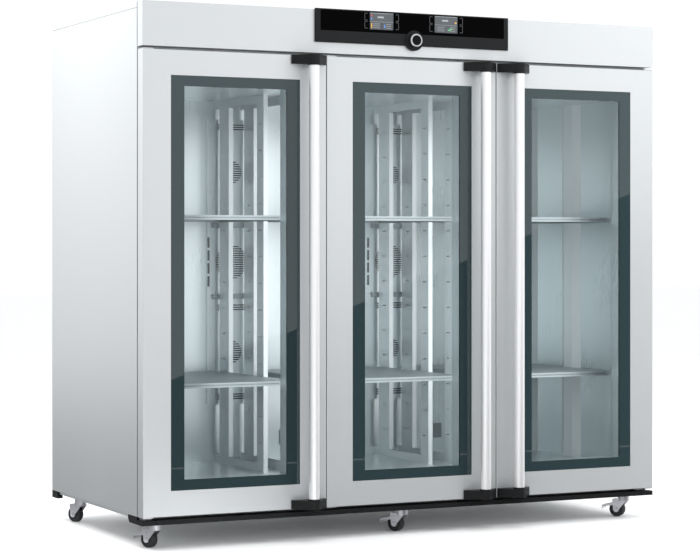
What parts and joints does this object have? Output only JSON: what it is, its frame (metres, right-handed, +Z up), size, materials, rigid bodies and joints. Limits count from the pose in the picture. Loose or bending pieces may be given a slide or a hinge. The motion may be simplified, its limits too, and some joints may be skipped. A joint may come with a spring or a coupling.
{
  "type": "environmental test chamber",
  "caption": "Glass-door environmental test chamber in brushed steel, with full-height bar handles, a header control panel with a rotary knob, and braked castors",
  "frame": {"origin": "on the floor below the middle of the bounding box", "axes": "+X to the right of someone facing the doors, +Y into the cabinet, +Z up; the doors face -Y"},
  "size_m": [2.157, 1.0999, 1.9502],
  "materials": {
    "casing_steel": "satin",
    "inner_steel": "satin",
    "bar_steel": "polished",
    "bright_chrome": "polished",
    "zinc_steel": "satin",
    "grey_enamel": "satin",
    "black_plastic": "matte",
    "spacer_plastic": "matte",
    "fan_plastic": "matte",
    "motor_black": "matte",
    "black_gloss": "gloss",
    "display": "gloss",
    "panel_glass": "gloss",
    "door_glass": "gloss",
    "grey_rubber": "matte",
    "grey_rubber_tyre": "matte"
  },
  "bodies": {
    "cabinet": {"base_tray": "grey_enamel", "front_plinth_rail": "black_plastic", "plinth_corner_caps": "black_plastic", "side_panels": "casing_steel", "rear_panel": "casing_steel", "top_cover": "casing_steel", "rear_vent_cover": "casing_steel", "front_frame": "casing_steel", "header_fascia": "casing_steel", "control_housing": "black_plastic", "control_glass": "panel_glass", "display_screens": "display", "liner_walls": "inner_steel", "liner_floor_and_ceiling": "inner_steel", "liner_spacers": "spacer_plastic", "shelf_supports": "inner_steel", "shelves": "inner_steel", "shelf_runners": "inner_steel", "duct_cover": "inner_steel", "fan_motors": "motor_black", "refrigeration_unit": "grey_enamel", "hinge_brackets": "zinc_steel", "castor_plates": "zinc_steel"},
    "left_door": {"left_door_shell": "casing_steel", "left_door_inner_frame": "inner_steel", "left_door_glazing": "door_glass", "left_door_gasket": "grey_rubber", "left_door_handle_bar": "bar_steel", "left_door_handle_ends": "black_plastic"},
    "middle_door": {"middle_door_shell": "casing_steel", "middle_door_inner_frame": "inner_steel", "middle_door_glazing": "door_glass", "middle_door_gasket": "grey_rubber", "middle_door_handle_bar": "bar_steel", "middle_door_handle_ends": "black_plastic"},
    "right_door": {"right_door_shell": "casing_steel", "right_door_inner_frame": "inner_steel", "right_door_glazing": "door_glass", "right_door_gasket": "grey_rubber", "right_door_handle_bar": "bar_steel", "right_door_handle_ends": "black_plastic"},
    "knob_ring": {"knob_ring": "bright_chrome"},
    "knob_button": {"knob_button": "black_gloss"},
    "fan_left": {"fan_impeller_left": "fan_plastic"},
    "fan_right": {"fan_impeller_right": "fan_plastic"},
    "castor_front_left_fork": {"castor_front_left_fork": "zinc_steel"},
    "castor_front_left_wheel": {"castor_front_left_wheel": "grey_rubber_tyre"},
    "castor_front_left_brake": {"castor_front_left_brake": "zinc_steel"},
    "castor_front_middle_fork": {"castor_front_middle_fork": "zinc_steel"},
    "castor_front_middle_wheel": {"castor_front_middle_wheel": "grey_rubber_tyre"},
    "castor_front_middle_brake": {"castor_front_middle_brake": "zinc_steel"},
    "castor_front_right_fork": {"castor_front_right_fork": "zinc_steel"},
    "castor_front_right_wheel": {"castor_front_right_wheel": "grey_rubber_tyre"},
    "castor_front_right_brake": {"castor_front_right_brake": "zinc_steel"},
    "castor_rear_left_fork": {"castor_rear_left_fork": "zinc_steel"},
    "castor_rear_left_wheel": {"castor_rear_left_wheel": "grey_rubber_tyre"},
    "castor_rear_middle_fork": {"castor_rear_middle_fork": "zinc_steel"},
    "castor_rear_middle_wheel": {"castor_rear_middle_wheel": "grey_rubber_tyre"},
    "castor_rear_right_fork": {"castor_rear_right_fork": "zinc_steel"},
    "castor_rear_right_wheel": {"castor_rear_right_wheel": "grey_rubber_tyre"}
  },
  "joints": [
    {"name": "left_door_hinge", "type": "hinge", "parent": "cabinet", "child": "left_door", "pos_m": [-1.063, -0.4695, 0.9478], "axis": [0, 0, -1], "range_deg": [0, 110]},
    {"name": "middle_door_hinge", "type": "hinge", "parent": "cabinet", "child": "middle_door", "pos_m": [-0.344, -0.4695, 0.9478], "axis": [0, 0, -1], "range_deg": [0, 110]},
    {"name": "right_door_hinge", "type": "hinge", "parent": "cabinet", "child": "right_door", "pos_m": [1.063, -0.4695, 0.9478], "axis": [0, 0, 1], "range_deg": [0, 110]},
    {"name": "knob_turn", "type": "hinge", "parent": "cabinet", "child": "knob_ring", "pos_m": [0, -0.499, 1.8468], "axis": [0, 1, 0], "continuous": true},
    {"name": "knob_press", "type": "slide", "parent": "knob_ring", "child": "knob_button", "axis": [0, 1, 0], "range_m": [0, 0.0015]},
    {"name": "fan_left_turn", "type": "hinge", "parent": "cabinet", "child": "fan_left", "pos_m": [-0.3595, 0.427, 1.015], "axis": [0, 1, 0], "continuous": true},
    {"name": "fan_right_turn", "type": "hinge", "parent": "cabinet", "child": "fan_right", "pos_m": [0.3595, 0.427, 1.015], "axis": [0, 1, 0], "continuous": true},
    {"name": "castor_front_left_swivel", "type": "hinge", "parent": "cabinet", "child": "castor_front_left_fork", "pos_m": [-0.9985, -0.388, 0.08], "axis": [0, 0, 1], "continuous": true},
    {"name": "castor_front_left_roll", "type": "hinge", "parent": "castor_front_left_fork", "child": "castor_front_left_wheel", "pos_m": [-1.01047, -0.36605, 0.03], "axis": [-0.8779, -0.4789, 0], "continuous": true},
    {"name": "castor_front_left_brake_press", "type": "hinge", "parent": "castor_front_left_fork", "child": "castor_front_left_brake", "pos_m": [-1.01047, -0.36605, 0.053], "axis": [-0.8779, -0.4789, 0], "range_deg": [0, 8]},
    {"name": "castor_front_middle_swivel", "type": "hinge", "parent": "cabinet", "child": "castor_front_middle_fork", "pos_m": [0, -0.388, 0.08], "axis": [0, 0, 1], "continuous": true},
    {"name": "castor_front_middle_roll", "type": "hinge", "parent": "castor_front_middle_fork", "child": "castor_front_middle_wheel", "pos_m": [-0.01369, -0.36708, 0.03], "axis": [-0.8366, -0.5478, 0], "continuous": true},
    {"name": "castor_front_middle_brake_press", "type": "hinge", "parent": "castor_front_middle_fork", "child": "castor_front_middle_brake", "pos_m": [-0.01369, -0.36708, 0.053], "axis": [-0.8366, -0.5478, 0], "range_deg": [0, 8]},
    {"name": "castor_front_right_swivel", "type": "hinge", "parent": "cabinet", "child": "castor_front_right_fork", "pos_m": [0.9985, -0.388, 0.08], "axis": [0, 0, 1], "continuous": true},
    {"name": "castor_front_right_roll", "type": "hinge", "parent": "castor_front_right_fork", "child": "castor_front_right_wheel", "pos_m": [0.98294, -0.36843, 0.03], "axis": [-0.7828, -0.6222, 0], "continuous": true},
    {"name": "castor_front_right_brake_press", "type": "hinge", "parent": "castor_front_right_fork", "child": "castor_front_right_brake", "pos_m": [0.98294, -0.36843, 0.053], "axis": [-0.7828, -0.6222, 0], "range_deg": [0, 8]},
    {"name": "castor_rear_left_swivel", "type": "hinge", "parent": "cabinet", "child": "castor_rear_left_fork", "pos_m": [-0.9985, 0.412, 0.08], "axis": [0, 0, 1], "continuous": true},
    {"name": "castor_rear_left_roll", "type": "hinge", "parent": "castor_rear_left_fork", "child": "castor_rear_left_wheel", "pos_m": [-1.01047, 0.43395, 0.03], "axis": [-0.8779, -0.4789, 0], "continuous": true},
    {"name": "castor_rear_middle_swivel", "type": "hinge", "parent": "cabinet", "child": "castor_rear_middle_fork", "pos_m": [0, 0.412, 0.08], "axis": [0, 0, 1], "continuous": true},
    {"name": "castor_rear_middle_roll", "type": "hinge", "parent": "castor_rear_middle_fork", "child": "castor_rear_middle_wheel", "pos_m": [-0.01369, 0.43292, 0.03], "axis": [-0.8366, -0.5478, 0], "continuous": true},
    {"name": "castor_rear_right_swivel", "type": "hinge", "parent": "cabinet", "child": "castor_rear_right_fork", "pos_m": [0.9985, 0.412, 0.08], "axis": [0, 0, 1], "continuous": true},
    {"name": "castor_rear_right_roll", "type": "hinge", "parent": "castor_rear_right_fork", "child": "castor_rear_right_wheel", "pos_m": [0.98294, 0.43157, 0.03], "axis": [-0.7828, -0.6222, 0], "continuous": true}
  ]
}
